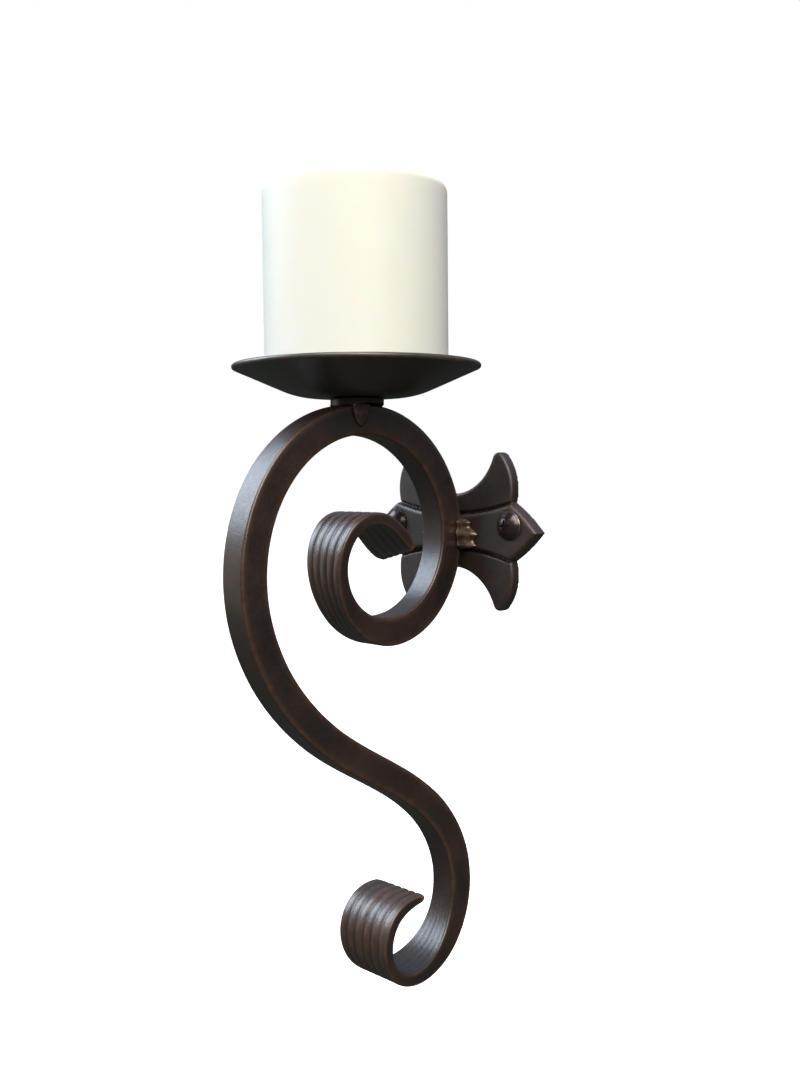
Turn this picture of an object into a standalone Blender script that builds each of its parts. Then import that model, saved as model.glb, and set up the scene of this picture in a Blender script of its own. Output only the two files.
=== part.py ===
"""Wall sconce candle holder: a forged scroll on a cast wall plate, with a pan, a pricket and a candle.

Metres, +Z up. The wall is the plane y = 0, and the holder stands out from it along -Y. The origin is the
centre of the wall plate's back.
"""
import math

import bmesh
import bpy
from mathutils import Vector

MM = 0.001
GAP = 0.3 * MM  # clearance between pieces that touch

# The forged bar: half-inch square stock, hammered flat and wide at both ends.
BAR = 12.7 * MM
BAR_CHAMFER = 1.0 * MM
BAR_STEP = 3.0 * MM
SCROLL_START = (-40.3 * MM, -8.7 * MM)  # y and z of the inner end
SCROLL_START_HEADING = math.radians(139)
# Each stretch of the bend is a length and the radii it starts and ends at. A negative radius bends the
# other way.
SCROLL_STRETCHES = (
    (5.0 * MM, -90.0 * MM, -56.5 * MM),
    (21.5 * MM, -56.5 * MM, 13.5 * MM),
    (36.5 * MM, 13.5 * MM, 28.5 * MM),
    (105.5 * MM, 28.5 * MM, 46.0 * MM),
    (180.0 * MM, 46.0 * MM, 70.5 * MM),
    (74.0 * MM, 70.5 * MM, 145.0 * MM),
    (142.0 * MM, 145.0 * MM, -27.0 * MM),
    (60.2 * MM, -36.7 * MM, -14.5 * MM),
    (16.6 * MM, -14.9 * MM, -64.0 * MM),
)
# Both ends are hammered out. A run says how far back from the tip the change starts and ends.
INNER_END_WIDTH = 28.0 * MM
INNER_END_WIDTH_RUN = (0.0, 115.0 * MM)
LOWER_END_WIDTH = 29.2 * MM
LOWER_END_WIDTH_RUN = (23.0 * MM, 110.0 * MM)
END_THICKNESS = 5.4 * MM
END_THICKNESS_RUN = (52.0 * MM, 110.0 * MM)
INNER_END_LEAN = 0.8 * MM  # the widened inner end stands this far over towards +X
INNER_END_LEAN_RUN = (30.0 * MM, 115.0 * MM)
TIP_THINNING = 0.5  # the share of the thickness that is gone at the very tip
TIP_RUN = 16.0 * MM
INNER_END_SKEW = 4.0 * MM  # the far side of the inner tip runs on this much further than its middle
INNER_END_SKEW_RUN = 24.0 * MM

# The cast wall plate: four petals behind a raised strap that widens to a point at each screw.
PETAL_THICKNESS = 5.2 * MM
STRAP_THICKNESS = 6.7 * MM
PLATE_CHAMFER = 1.6 * MM
WAIST_HALF_HEIGHT = 16.5 * MM
WAIST_RADIUS = 24.8 * MM
PETAL_TIP_RADIUS = 3.2 * MM
PETAL_TOP = 34.4 * MM
PETAL_HALF_WIDTH = 34.3 * MM
PETAL_WIDEST_HEIGHT = 18.5 * MM
STRAP_HALF_HEIGHT = 7.0 * MM
LOBE_SHOULDER = (34.0 * MM, 12.2 * MM)
LOBE_TIP = 48.3 * MM
LOBE_BULGE = 0.7 * MM
EDGE_STEPS = 8  # facets in each arc of the plate's outlines
SEAT_WIDTH = BAR + 2 * GAP  # the strap is cut away down to the petals where the bar lies across it
SCREW_SPACING = 68.0 * MM
SCREW_HEIGHT = 3.0 * MM  # the holes are above the middle of the plate
SCREW_HOLE_RADIUS = 3.3 * MM

# The screws: number 14 round heads with a cross recess.
SCREW_HEAD_RADIUS = 6.3 * MM
SCREW_HEAD_HEIGHT = 3.6 * MM
SCREW_SHANK_RADIUS = 3.0 * MM
SCREW_LENGTH = 19.0 * MM
SCREW_POINT = 6.0 * MM
RECESS_LENGTH = 6.0 * MM
RECESS_WIDTH = 1.2 * MM
RECESS_DEPTH = 1.7 * MM

# The pan, its collar and the pricket stand on the crown of the ring.
PAN_AXIS_Y = -61.8 * MM
COLLAR_RADIUS = 11.0 * MM
COLLAR_HEIGHT = 2.1 * MM
PAN_RADIUS = 50.8 * MM
PAN_FLOOR_RADIUS = 24.0 * MM
PAN_HEIGHT = 13.6 * MM
PAN_SHEET = 2.4 * MM
PRICKET_SHANK_RADIUS = 3.2 * MM
PRICKET_HOLE_RADIUS = PRICKET_SHANK_RADIUS + GAP
PRICKET_HEIGHT = 34.0 * MM
PRICKET_POINT_RADIUS = 0.3 * MM

# The candle: a 75 mm pillar.
CANDLE_RADIUS = 37.5 * MM
CANDLE_HEIGHT = 76.0 * MM
CANDLE_SHOULDER = 3.0 * MM
CANDLE_FOOT_CHAMFER = 1.0 * MM
CANDLE_SOCKET_RADIUS = 3.8 * MM
CANDLE_SOCKET_DEPTH = 40.0 * MM
WICK_RADIUS = 1.2 * MM
WICK_ABOVE_WAX = 7.0 * MM

# The weld beads: how far each one reaches along its two faces, and half its length.
PLATE_BEAD = (12.5 * MM, 3.8 * MM, 7.2 * MM)
PLATE_BEAD_HEIGHT = -1.0 * MM
COLLAR_BEAD = (2.4 * MM, 9.5 * MM, 5.0 * MM)
COLLAR_BEAD_Y = -65.8 * MM
BEAD_STATIONS = 8
BEAD_ARC_STEPS = 6
BEAD_END = 0.97  # a bead stops at this share of its half length, with a small flat end

ROUND_SEGMENTS = 64
SMALL_SEGMENTS = 24
SHARP_ANGLE = math.radians(35)


def clear_scene():
    for old in list(bpy.data.objects):
        bpy.data.objects.remove(old, do_unlink=True)


def material(name, colour, roughness, metallic):
    made = bpy.data.materials.new(name)
    made.use_nodes = True
    shader = made.node_tree.nodes["Principled BSDF"]
    shader.inputs["Base Color"].default_value = (*colour, 1.0)
    shader.inputs["Roughness"].default_value = roughness
    shader.inputs["Metallic"].default_value = metallic
    return made


def finish(name, mesh, surface):
    """Turn a bmesh into a named object with outward faces, smooth shading and one material."""
    bmesh.ops.remove_doubles(mesh, verts=mesh.verts, dist=0.001 * MM)
    bmesh.ops.recalc_face_normals(mesh, faces=mesh.faces)
    data = bpy.data.meshes.new(name)
    mesh.to_mesh(data)
    mesh.free()
    data.shade_smooth()
    data.set_sharp_from_angle(angle=SHARP_ANGLE)
    data.materials.append(surface)
    made = bpy.data.objects.new(name, data)
    bpy.context.scene.collection.objects.link(made)
    return made


def lofted(name, sections, surface):
    """A closed body through matching closed sections, with a flat cap at each end."""
    mesh = bmesh.new()
    loops = [[mesh.verts.new(point) for point in section] for section in sections]
    count = len(loops[0])
    for first, second in zip(loops, loops[1:]):
        for corner in range(count):
            following = (corner + 1) % count
            mesh.faces.new((first[corner], first[following], second[following], second[corner]))
    mesh.faces.new(loops[0])
    mesh.faces.new(loops[-1])
    return finish(name, mesh, surface)


def turned(name, profile, surface, segments):
    """A body turned about local Z from a closed run of (radius, height) points."""
    mesh = bmesh.new()
    rings = []
    for radius, height in profile:
        ring = []
        for number in range(segments):
            angle = math.tau * number / segments
            ring.append(mesh.verts.new((radius * math.cos(angle), radius * math.sin(angle), height)))
        rings.append(ring)
    for first, second in zip(rings, rings[1:] + rings[:1]):
        for number in range(segments):
            following = (number + 1) % segments
            mesh.faces.new((first[number], first[following], second[following], second[number]))
    return finish(name, mesh, surface)


def arc(centre, radius, start, end, steps):
    """Points on a circle from one angle to another, in degrees."""
    points = []
    for number in range(steps + 1):
        angle = math.radians(start + (end - start) * number / steps)
        points.append((centre[0] + radius * math.cos(angle), centre[1] + radius * math.sin(angle)))
    return points


def blend(first, second, run, distance):
    """A size that eases from its first value at the run's start to its second at the run's end."""
    start, end = run
    part = min(max((distance - start) / (end - start), 0.0), 1.0)
    return first + (second - first) * part * part * (3 - 2 * part)


def scroll_centreline():
    """(y, z, heading, distance) along the bar, from its inner end to its lower end.

    Along each stretch the curvature changes evenly, as a bar bent over a scroll form does.
    """
    y, z = SCROLL_START
    heading = SCROLL_START_HEADING
    distance = 0.0
    stations = [(y, z, heading, distance)]
    for length, start_radius, end_radius in SCROLL_STRETCHES:
        steps = math.ceil(length / BAR_STEP)
        step = length / steps
        curvature = 1 / start_radius
        change = (1 / end_radius - curvature) / steps
        for _ in range(steps):
            turn = (curvature + change / 2) * step
            y += step * math.cos(heading + turn / 2)
            z += step * math.sin(heading + turn / 2)
            heading += turn
            curvature += change
            distance += step
            stations.append((y, z, heading, distance))
    return stations


def scroll_section(station, length):
    """The eight corners of the bar's chamfered section at one station."""
    y, z, heading, distance = station
    from_tip = min(distance, length - distance)
    if distance < length / 2:
        half_width = blend(INNER_END_WIDTH, BAR, INNER_END_WIDTH_RUN, from_tip) / 2
        lean = blend(INNER_END_LEAN, 0.0, INNER_END_LEAN_RUN, from_tip)
    else:
        half_width = blend(LOWER_END_WIDTH, BAR, LOWER_END_WIDTH_RUN, from_tip) / 2
        lean = 0.0
    half_thickness = blend(END_THICKNESS, BAR, END_THICKNESS_RUN, from_tip) / 2
    half_thickness *= 1 - TIP_THINNING * max(0.0, 1 - from_tip / TIP_RUN) ** 2
    chamfer = min(BAR_CHAMFER, half_thickness / 2)
    skew = INNER_END_SKEW * max(0.0, 1 - distance / INNER_END_SKEW_RUN)
    corners = (
        (half_width, half_thickness - chamfer),
        (half_width - chamfer, half_thickness),
        (chamfer - half_width, half_thickness),
        (-half_width, half_thickness - chamfer),
        (-half_width, chamfer - half_thickness),
        (chamfer - half_width, -half_thickness),
        (half_width - chamfer, -half_thickness),
        (half_width, chamfer - half_thickness),
    )
    forward = Vector((0, math.cos(heading), math.sin(heading)))
    outward = Vector((0, math.sin(heading), -math.cos(heading)))
    section = []
    for across, out in corners:
        along = skew * across / half_width
        section.append(Vector((lean + across, y, z)) + outward * out + forward * along)
    return section


def scroll_bar(iron):
    stations = scroll_centreline()
    length = stations[-1][3]
    return lofted("scroll_bar", [scroll_section(station, length) for station in stations], iron)


def crown_height():
    """The top of the ring, where the collar sits."""
    return max(station[1] for station in scroll_centreline()) + BAR / 2


def petal_quadrant():
    """The plate's outline from the middle of its top to its side, as three arcs that meet smoothly."""
    waist_centre = (0.0, WAIST_HALF_HEIGHT + WAIST_RADIUS)
    tip_height = PETAL_TOP - PETAL_TIP_RADIUS
    drop = waist_centre[1] - tip_height
    tip_centre = (math.sqrt((WAIST_RADIUS + PETAL_TIP_RADIUS) ** 2 - drop ** 2), tip_height)
    rise = tip_height - PETAL_WIDEST_HEIGHT
    inset = PETAL_HALF_WIDTH - tip_centre[0]
    numerator = rise ** 2 + inset ** 2 - PETAL_TIP_RADIUS ** 2
    side_radius = numerator / (2 * (inset - PETAL_TIP_RADIUS))
    side_centre = (PETAL_HALF_WIDTH - side_radius, PETAL_WIDEST_HEIGHT)
    waist_end = -math.degrees(math.atan2(drop, tip_centre[0]))
    tip_end = math.degrees(math.atan2(rise, tip_centre[0] - side_centre[0]))
    side_end = -math.degrees(math.asin((PETAL_WIDEST_HEIGHT - LOBE_SHOULDER[1] / 2) / side_radius))
    waist = arc(waist_centre, WAIST_RADIUS, -90, waist_end, EDGE_STEPS)
    tip = arc(tip_centre, PETAL_TIP_RADIUS, 180 + waist_end, tip_end, EDGE_STEPS)
    side = arc(side_centre, side_radius, tip_end, side_end, EDGE_STEPS)
    return waist[:-1] + tip[:-1] + side


def strap_quadrant():
    """The strap's outline from the middle of its top edge to the lobe's point."""
    shoulder_x, shoulder_z = LOBE_SHOULDER
    rise = shoulder_z - STRAP_HALF_HEIGHT
    edge_radius = (shoulder_x ** 2 + rise ** 2) / (2 * rise)
    edge_end = math.degrees(math.asin(shoulder_x / edge_radius)) - 90
    edge = arc((0.0, STRAP_HALF_HEIGHT + edge_radius), edge_radius, -90, edge_end, EDGE_STEPS)
    run = Vector((LOBE_TIP - shoulder_x, -shoulder_z))
    lobe_radius = (run.length ** 2 / 4 + LOBE_BULGE ** 2) / (2 * LOBE_BULGE)
    inward = Vector((-shoulder_z, shoulder_x - LOBE_TIP)).normalized()
    middle = Vector(LOBE_SHOULDER) + run / 2
    centre = middle + inward * (lobe_radius - LOBE_BULGE)
    start = math.degrees(math.atan2(shoulder_z - centre.y, shoulder_x - centre.x))
    end = math.degrees(math.atan2(-centre.y, LOBE_TIP - centre.x))
    return edge[:-1] + arc(centre, lobe_radius, start, end, EDGE_STEPS)


def mirrored_outline(quadrant):
    """The whole outline from the quadrant that runs from its top middle to its right side."""
    on_axis = abs(quadrant[-1][1]) < GAP
    lower_right = [(x, -z) for x, z in reversed(quadrant[:-1] if on_axis else quadrant)]
    right = quadrant + lower_right
    left = [(-x, z) for x, z in reversed(right[1:-1])]
    return right + left


def plate_layer(name, outline, thickness, iron):
    """A flat layer against the wall with a chamfer round its front."""
    mesh = bmesh.new()
    back = mesh.faces.new([mesh.verts.new((x, 0, z)) for x, z in outline])
    extruded = bmesh.ops.extrude_face_region(mesh, geom=[back])["geom"]
    forward = Vector((0, PLATE_CHAMFER - thickness, 0))
    moved = [item for item in extruded if isinstance(item, bmesh.types.BMVert)]
    bmesh.ops.translate(mesh, vec=forward, verts=moved)
    bmesh.ops.recalc_face_normals(mesh, faces=mesh.faces)
    front = [item for item in extruded if isinstance(item, bmesh.types.BMFace)]
    bmesh.ops.inset_region(mesh, faces=front, thickness=PLATE_CHAMFER, depth=PLATE_CHAMFER)
    return finish(name, mesh, iron)


def boolean(target, tool, operation):
    """Join a tool to a target or cut it away, and leave the tool as a hidden guide."""
    cut = target.modifiers.new(tool.name, "BOOLEAN")
    cut.operation = operation
    cut.solver = "EXACT"
    cut.object = tool
    tool.hide_render = True
    tool.display_type = "WIRE"


def block(name, size, surface):
    """A rectangular block about its own middle."""
    mesh = bmesh.new()
    bmesh.ops.create_cube(mesh, size=1)
    bmesh.ops.scale(mesh, vec=size, verts=mesh.verts)
    return finish(name, mesh, surface)


def wall_plate(iron):
    petals = plate_layer("wall_plate", mirrored_outline(petal_quadrant()), PETAL_THICKNESS, iron)
    strap = plate_layer("plate_strap_guide", mirrored_outline(strap_quadrant()), STRAP_THICKNESS, iron)
    boolean(petals, strap, "UNION")
    seat = block("bar_seat_guide", (SEAT_WIDTH, STRAP_THICKNESS, 2 * PETAL_TOP), iron)
    seat.location.y = -PETAL_THICKNESS - STRAP_THICKNESS / 2
    boolean(petals, seat, "DIFFERENCE")
    for side in (-1, 1):
        reach = 2 * STRAP_THICKNESS
        drill_profile = ((0, -reach), (SCREW_HOLE_RADIUS, -reach), (SCREW_HOLE_RADIUS, reach), (0, reach))
        drill = turned("screw_hole_guide", drill_profile, iron, SMALL_SEGMENTS)
        drill.rotation_euler.x = math.radians(90)
        drill.location.x = side * SCREW_SPACING / 2
        drill.location.z = SCREW_HEIGHT
        boolean(petals, drill, "DIFFERENCE")
    return petals


def screw(name, side, steel):
    """A round-head wood screw whose local +Z points out of the wall."""
    head_radius = (SCREW_HEAD_RADIUS ** 2 + SCREW_HEAD_HEIGHT ** 2) / (2 * SCREW_HEAD_HEIGHT)
    head_edge = math.degrees(math.acos(SCREW_HEAD_RADIUS / head_radius))
    dome = arc((0.0, SCREW_HEAD_HEIGHT - head_radius), head_radius, head_edge, 90, 6)
    profile = [
        (0.0, -SCREW_LENGTH),
        (SCREW_SHANK_RADIUS, SCREW_POINT - SCREW_LENGTH),
        (SCREW_SHANK_RADIUS, 0.0),
        (SCREW_HEAD_RADIUS, 0.0),
    ] + dome[1:-1] + [(0.0, SCREW_HEAD_HEIGHT)]
    body = turned(name, profile, steel, SMALL_SEGMENTS)
    body.rotation_euler.x = math.radians(90)
    body.location = (side * SCREW_SPACING / 2, -STRAP_THICKNESS - GAP, SCREW_HEIGHT)
    for turn in (0, 90):
        cutter = block("recess_guide", (RECESS_LENGTH, RECESS_WIDTH, 2 * RECESS_DEPTH), steel)
        cutter.parent = body
        cutter.location.z = SCREW_HEAD_HEIGHT
        cutter.rotation_euler.z = math.radians(turn)
        boolean(body, cutter, "DIFFERENCE")
    return body


def standing(made, height):
    """Stand a turned piece on the pan's axis at a height."""
    made.location = (0, PAN_AXIS_Y, height)
    return made


def pan_collar(iron):
    profile = (
        (PRICKET_HOLE_RADIUS, 0.0),
        (COLLAR_RADIUS, 0.0),
        (COLLAR_RADIUS, COLLAR_HEIGHT),
        (PRICKET_HOLE_RADIUS, COLLAR_HEIGHT),
    )
    return standing(turned("pan_collar", profile, iron, ROUND_SEGMENTS), crown_height() + GAP)


def pan_height():
    """The underside of the pan's floor."""
    return crown_height() + COLLAR_HEIGHT + 2 * GAP


def pan_slope():
    """How far the pan's side rises for each metre outward."""
    return (PAN_HEIGHT - PAN_SHEET) / (PAN_RADIUS - PAN_FLOOR_RADIUS)


def candle_pan(iron):
    rim_radius = PAN_SHEET / 2
    rim_centre = (PAN_RADIUS - rim_radius, PAN_HEIGHT - rim_radius)
    tilt = math.degrees(math.atan(pan_slope()))
    rim = arc(rim_centre, rim_radius, tilt - 90, tilt + 90, 6)
    profile = [(PRICKET_HOLE_RADIUS, 0.0), (PAN_FLOOR_RADIUS, 0.0)]
    profile += rim
    profile += [(PAN_FLOOR_RADIUS, PAN_SHEET), (PRICKET_HOLE_RADIUS, PAN_SHEET)]
    return standing(turned("candle_pan", profile, iron, ROUND_SEGMENTS), pan_height())


def candle_spike(iron):
    """The pricket: a plain shank through the pan and collar, drawn to a point above them."""
    floor = PAN_SHEET
    foot = crown_height() + GAP - pan_height()
    profile = (
        (0.0, foot),
        (PRICKET_SHANK_RADIUS, foot),
        (PRICKET_SHANK_RADIUS, floor + PRICKET_SHANK_RADIUS),
        (PRICKET_POINT_RADIUS, floor + PRICKET_HEIGHT),
        (0.0, floor + PRICKET_HEIGHT + PRICKET_POINT_RADIUS),
    )
    return standing(turned("candle_spike", profile, iron, SMALL_SEGMENTS), pan_height())


def candle_foot_height():
    """Where the candle's foot comes to rest on the pan's sloping side."""
    rise = (CANDLE_RADIUS - PAN_FLOOR_RADIUS) * pan_slope()
    sheet_on_slope = PAN_SHEET * math.sqrt(1 + pan_slope() ** 2)
    return pan_height() + rise + sheet_on_slope + GAP


def candle_body(wax):
    shoulder_centre = (CANDLE_RADIUS - CANDLE_SHOULDER, CANDLE_HEIGHT - CANDLE_SHOULDER)
    shoulder = arc(shoulder_centre, CANDLE_SHOULDER, 0, 90, 5)
    wick_hole = WICK_RADIUS + GAP
    profile = [
        (CANDLE_SOCKET_RADIUS, 0.0),
        (CANDLE_RADIUS - CANDLE_FOOT_CHAMFER, 0.0),
        (CANDLE_RADIUS, CANDLE_FOOT_CHAMFER),
    ]
    profile += shoulder
    profile += [
        (wick_hole, CANDLE_HEIGHT),
        (wick_hole, CANDLE_SOCKET_DEPTH),
        (CANDLE_SOCKET_RADIUS, CANDLE_SOCKET_DEPTH),
    ]
    return standing(turned("candle_body", profile, wax, ROUND_SEGMENTS), candle_foot_height())


def candle_wick(cotton):
    tip = CANDLE_HEIGHT + WICK_ABOVE_WAX
    profile = (
        (0.0, CANDLE_SOCKET_DEPTH + GAP),
        (WICK_RADIUS, CANDLE_SOCKET_DEPTH + GAP),
        (WICK_RADIUS, tip - WICK_RADIUS / 2),
        (WICK_RADIUS / 2, tip),
        (0.0, tip),
    )
    return standing(turned("candle_wick", profile, cotton, SMALL_SEGMENTS), candle_foot_height())


def weld_bead(name, corner, first, second, along, sizes, surface):
    """A bead in the corner between two faces, a quarter ellipse that swells from each end to its middle."""
    first_size, second_size, half_length = sizes
    sections = []
    for number in range(BEAD_STATIONS + 1):
        place = BEAD_END * math.sin(math.pi * (number / BEAD_STATIONS - 0.5))
        swell = math.sqrt(1 - place ** 2)
        middle = Vector(corner) + Vector(along) * place * half_length
        section = [middle]
        for step in range(BEAD_ARC_STEPS + 1):
            angle = math.radians(90) * step / BEAD_ARC_STEPS
            across = Vector(first) * first_size * math.cos(angle)
            out = Vector(second) * second_size * math.sin(angle)
            section.append(middle + (across + out) * swell)
        sections.append(section)
    return lofted(name, sections, surface)


def weld_beads(bead):
    """A bead on each side of the bar, at the wall plate and under the collar."""
    for word, side in (("left", -1), ("right", 1)):
        bar_side = side * (BAR / 2 + GAP)
        at_plate = (bar_side, -STRAP_THICKNESS - GAP, PLATE_BEAD_HEIGHT)
        weld_bead("weld_plate_" + word, at_plate, (side, 0, 0), (0, -1, 0), (0, 0, 1), PLATE_BEAD, bead)
        at_collar = (bar_side, COLLAR_BEAD_Y, crown_height())
        weld_bead("weld_collar_" + word, at_collar, (side, 0, 0), (0, 0, -1), (0, 1, 0), COLLAR_BEAD, bead)


def build():
    clear_scene()
    iron = material("dark_forged_iron", (0.035, 0.026, 0.022), 0.45, 0.7)
    steel = material("dark_screw_steel", (0.05, 0.045, 0.045), 0.35, 0.9)
    weld = material("scorched_weld", (0.20, 0.13, 0.07), 0.4, 0.8)
    wax = material("ivory_wax", (0.85, 0.79, 0.66), 0.5, 0.0)
    cotton = material("wick_cotton", (0.85, 0.82, 0.75), 0.9, 0.0)
    scroll_bar(iron)
    wall_plate(iron)
    screw("screw_left", -1, steel)
    screw("screw_right", 1, steel)
    pan_collar(iron)
    candle_pan(iron)
    candle_spike(iron)
    candle_body(wax)
    candle_wick(cotton)
    weld_beads(weld)


build()
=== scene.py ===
"""Wall sconce candle holder: the finished surfaces of a forged scroll, its plate, pan and pillar candle."""
import math

import bmesh
import bpy
import numpy as np
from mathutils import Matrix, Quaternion, Vector


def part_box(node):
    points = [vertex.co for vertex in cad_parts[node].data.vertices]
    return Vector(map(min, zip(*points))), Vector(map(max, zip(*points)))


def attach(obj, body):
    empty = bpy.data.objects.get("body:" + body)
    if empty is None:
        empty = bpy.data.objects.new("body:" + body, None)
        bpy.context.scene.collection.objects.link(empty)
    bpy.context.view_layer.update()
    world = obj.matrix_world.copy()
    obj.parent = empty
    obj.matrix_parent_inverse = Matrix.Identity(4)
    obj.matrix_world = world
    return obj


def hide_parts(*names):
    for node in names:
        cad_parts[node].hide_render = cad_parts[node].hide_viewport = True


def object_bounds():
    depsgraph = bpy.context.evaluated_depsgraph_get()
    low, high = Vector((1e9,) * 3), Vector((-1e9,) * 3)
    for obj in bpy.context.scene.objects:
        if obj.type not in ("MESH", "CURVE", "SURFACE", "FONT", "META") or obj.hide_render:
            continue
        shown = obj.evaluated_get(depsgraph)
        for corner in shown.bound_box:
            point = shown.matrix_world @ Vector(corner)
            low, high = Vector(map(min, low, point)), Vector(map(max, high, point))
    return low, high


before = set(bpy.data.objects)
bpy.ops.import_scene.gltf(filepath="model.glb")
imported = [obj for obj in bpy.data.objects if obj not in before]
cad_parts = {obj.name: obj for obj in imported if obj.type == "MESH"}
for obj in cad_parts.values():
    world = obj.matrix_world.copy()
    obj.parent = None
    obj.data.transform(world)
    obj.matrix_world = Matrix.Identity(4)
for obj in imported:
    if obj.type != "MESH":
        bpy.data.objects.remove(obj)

cad_low, cad_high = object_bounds()
MM = 0.001


# ---------------------------------------------------------------- wall plate
# A small iron casting that carries the bracket: four thumb-shaped petals behind a raised strap that widens
# to a point round each screw. It is fettled, blackened with the rest and rubbed back along its edges, and the
# lighter colour on those edges is partly a painted highlight.

PLATE_BASE = 3.0 * MM  # what is left of the plate in the grooves between petals and strap
PETAL_THICKNESS = 5.2 * MM
PLATE_LOW, PLATE_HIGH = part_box("wall_plate")
STRAP_THICKNESS = -PLATE_LOW.y
PLATE_ROUNDING = 1.6 * MM
PETAL_TOP = PLATE_HIGH.z
PETAL_HALF_WIDTH = 34.3 * MM
PETAL_WIDEST_HEIGHT = 18.5 * MM
PETAL_TIP_RADIUS = 3.2 * MM
WAIST_HALF_HEIGHT = 16.5 * MM
WAIST_RADIUS = 24.8 * MM
STRAP_HALF_HEIGHT = 7.0 * MM
LOBE_SHOULDER = (34.0 * MM, 12.2 * MM)
LOBE_TIP = PLATE_HIGH.x
LOBE_BULGE = 0.7 * MM
GROOVE_FOOT = 0.2 * MM  # the groove's clearance round the strap at its bottom and at its mouth
GROOVE_MOUTH = 1.9 * MM
SEAT_WIDTH = 13.3 * MM
SCREW_HOLE_RADIUS = 3.3 * MM
CASTING_GRID = 0.42 * MM
# the scuffs break up the lighter colour on proud edges, which is partly real wear and partly a painted
# highlight
WEAR_AND_HIGHLIGHT_CONTRAST = 2.6  # how strongly the scuffs break up the rubbed edges
WEAR_AND_HIGHLIGHT_OFFSET = -0.35
GROOVE_SHARPNESS = 0.36
IRON_DARK = (0.016, 0.0095, 0.0075, 1)
IRON_WARM = (0.036, 0.017, 0.0105, 1)
# the colour of the rubbed edges and crests: partly bare worn iron, partly a painted highlight where edges
# catch the light
IRON_RUBBED_AND_HIGHLIT = (0.150, 0.074, 0.040, 1)


def arc(centre, radius, start, end, steps):
    """Points on a circle from one angle to another, in degrees."""
    points = []
    for number in range(steps + 1):
        angle = math.radians(start + (end - start) * number / steps)
        points.append((centre[0] + radius * math.cos(angle), centre[1] + radius * math.sin(angle)))
    return points


def petal_quadrant():
    """A quarter of the plate's outline, as three arcs that meet smoothly at the petal's tip."""
    waist_centre = (0.0, WAIST_HALF_HEIGHT + WAIST_RADIUS)
    tip_height = PETAL_TOP - PETAL_TIP_RADIUS
    drop = waist_centre[1] - tip_height
    tip_centre = (math.sqrt((WAIST_RADIUS + PETAL_TIP_RADIUS) ** 2 - drop ** 2), tip_height)
    rise = tip_height - PETAL_WIDEST_HEIGHT
    inset = PETAL_HALF_WIDTH - tip_centre[0]
    side_radius = (rise ** 2 + inset ** 2 - PETAL_TIP_RADIUS ** 2) / (2 * (inset - PETAL_TIP_RADIUS))
    side_centre = (PETAL_HALF_WIDTH - side_radius, PETAL_WIDEST_HEIGHT)
    waist_end = -math.degrees(math.atan2(drop, tip_centre[0]))
    tip_end = math.degrees(math.atan2(rise, tip_centre[0] - side_centre[0]))
    side_end = -math.degrees(math.asin((PETAL_WIDEST_HEIGHT - LOBE_SHOULDER[1] / 2) / side_radius))
    waist = arc(waist_centre, WAIST_RADIUS, -90, waist_end, 24)
    tip = arc(tip_centre, PETAL_TIP_RADIUS, 180 + waist_end, tip_end, 16)
    side = arc(side_centre, side_radius, tip_end, side_end, 20)
    return waist[:-1] + tip[:-1] + side


def strap_quadrant(spread=0.0):
    """A quarter of the strap's outline, spread outward by a clearance."""
    half_height = STRAP_HALF_HEIGHT + spread
    shoulder = Vector((LOBE_SHOULDER[0] + spread / 2, LOBE_SHOULDER[1] + spread))
    rise = shoulder.y - half_height
    edge_radius = (shoulder.x ** 2 + rise ** 2) / (2 * rise)
    edge_end = math.degrees(math.asin(shoulder.x / edge_radius)) - 90
    edge = arc((0.0, half_height + edge_radius), edge_radius, -90, edge_end, 20)
    point = Vector((LOBE_TIP + 1.4 * spread, 0))
    run = point - shoulder
    lobe_radius = (run.length ** 2 / 4 + LOBE_BULGE ** 2) / (2 * LOBE_BULGE)
    inward = Vector((run.y, -run.x)).normalized()
    centre = shoulder + run / 2 + inward * (lobe_radius - LOBE_BULGE)
    start = math.degrees(math.atan2(shoulder.y - centre.y, shoulder.x - centre.x))
    end = math.degrees(math.atan2(-centre.y, point.x - centre.x))
    return edge[:-1] + arc(centre, lobe_radius, start, end, 10)


def whole_outline(quadrant):
    """Mirror a quarter outline, from its top middle to its right side, into a whole one."""
    meets_axis = abs(quadrant[-1][1]) < 0.1 * MM
    lower = [(x, -z) for x, z in reversed(quadrant[:-1] if meets_axis else quadrant)]
    right = quadrant + lower
    return right + [(-x, z) for x, z in reversed(right[1:-1])]


def object_from(name, mesh, material=None):
    """Make an object from a bmesh, with its faces pointing out."""
    bmesh.ops.remove_doubles(mesh, verts=mesh.verts, dist=0.0005 * MM)
    bmesh.ops.recalc_face_normals(mesh, faces=mesh.faces)
    data = bpy.data.meshes.new(name)
    mesh.to_mesh(data)
    mesh.free()
    data.shade_smooth()
    if material:
        data.materials.append(material)
    made = bpy.data.objects.new(name, data)
    bpy.context.scene.collection.objects.link(made)
    return made


def prism(name, back_outline, back_y, front_outline, front_y):
    """A closed body between two matching outlines that face the room."""
    mesh = bmesh.new()
    back = [mesh.verts.new((x, back_y, z)) for x, z in back_outline]
    front = [mesh.verts.new((x, front_y, z)) for x, z in front_outline]
    count = len(back)
    for number in range(count):
        following = (number + 1) % count
        mesh.faces.new((back[number], back[following], front[following], front[number]))
    mesh.faces.new(back)
    mesh.faces.new(front)
    return object_from(name, mesh)


def round_front_edge(piece, thickness):
    """Round the edge of a layer's front face over a few facets."""
    mesh = bmesh.new()
    mesh.from_mesh(piece.data)
    front = [edge for edge in mesh.edges if all(vert.co.y < 0.01 * MM - thickness for vert in edge.verts)]
    bmesh.ops.bevel(mesh, geom=front, offset=PLATE_ROUNDING, segments=4, profile=0.5, affect="EDGES",
                    clamp_overlap=True)
    mesh.to_mesh(piece.data)
    mesh.free()


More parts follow.
